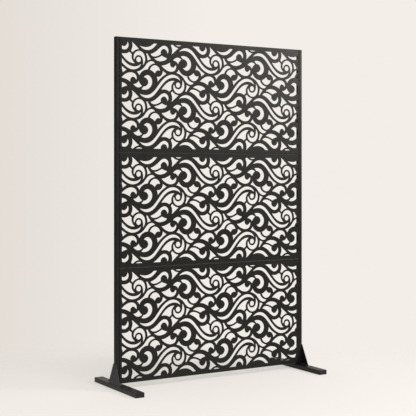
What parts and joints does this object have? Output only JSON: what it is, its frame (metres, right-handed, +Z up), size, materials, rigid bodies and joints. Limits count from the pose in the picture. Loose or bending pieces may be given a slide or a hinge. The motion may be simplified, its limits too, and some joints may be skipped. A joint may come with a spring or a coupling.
{
  "type": "outdoor privacy screen",
  "caption": "Free-standing outdoor privacy screen: stacked sheet-steel panels with a cut-out scroll ornament, bolted between tube posts that stand on flat feet with brace plates.",
  "frame": {"origin": "on the ground, in the middle between the posts and in the middle of the feet's length", "axes": "X along the screen, Y from its front to its back, Z up"},
  "size_m": [1.196, 0.48, 1.83],
  "materials": {
    "powder_coat": "satin black powder coat on steel",
    "plug_plastic": "moulded black plastic",
    "zinc_plate": "zinc-plated steel"
  },
  "bodies": {
    "root": {"left_post": "powder_coat", "right_post": "powder_coat", "left_post_cap": "plug_plastic", "right_post_cap": "plug_plastic", "top_panel": "powder_coat", "middle_panel": "powder_coat", "bottom_panel": "powder_coat", "left_foot": "powder_coat", "right_foot": "powder_coat", "left_foot_front_cap": "plug_plastic", "left_foot_rear_cap": "plug_plastic", "right_foot_front_cap": "plug_plastic", "right_foot_rear_cap": "plug_plastic", "left_gusset": "powder_coat", "right_gusset": "powder_coat", "left_gusset_welds": "powder_coat", "right_gusset_welds": "powder_coat", "left_spigot": "powder_coat", "right_spigot": "powder_coat", "left_base_bolts": "zinc_plate", "right_base_bolts": "zinc_plate", "left_base_washers": "zinc_plate", "right_base_washers": "zinc_plate", "left_base_nuts": "zinc_plate", "right_base_nuts": "zinc_plate", "left_side_bolts": "zinc_plate", "right_side_bolts": "zinc_plate", "left_side_washers": "zinc_plate", "right_side_washers": "zinc_plate", "left_side_rivet_nuts": "zinc_plate", "right_side_rivet_nuts": "zinc_plate", "upper_seam_bolts": "zinc_plate", "upper_seam_washers": "zinc_plate", "upper_seam_nuts": "zinc_plate", "lower_seam_bolts": "zinc_plate", "lower_seam_washers": "zinc_plate", "lower_seam_nuts": "zinc_plate"}
  },
  "joints": []
}
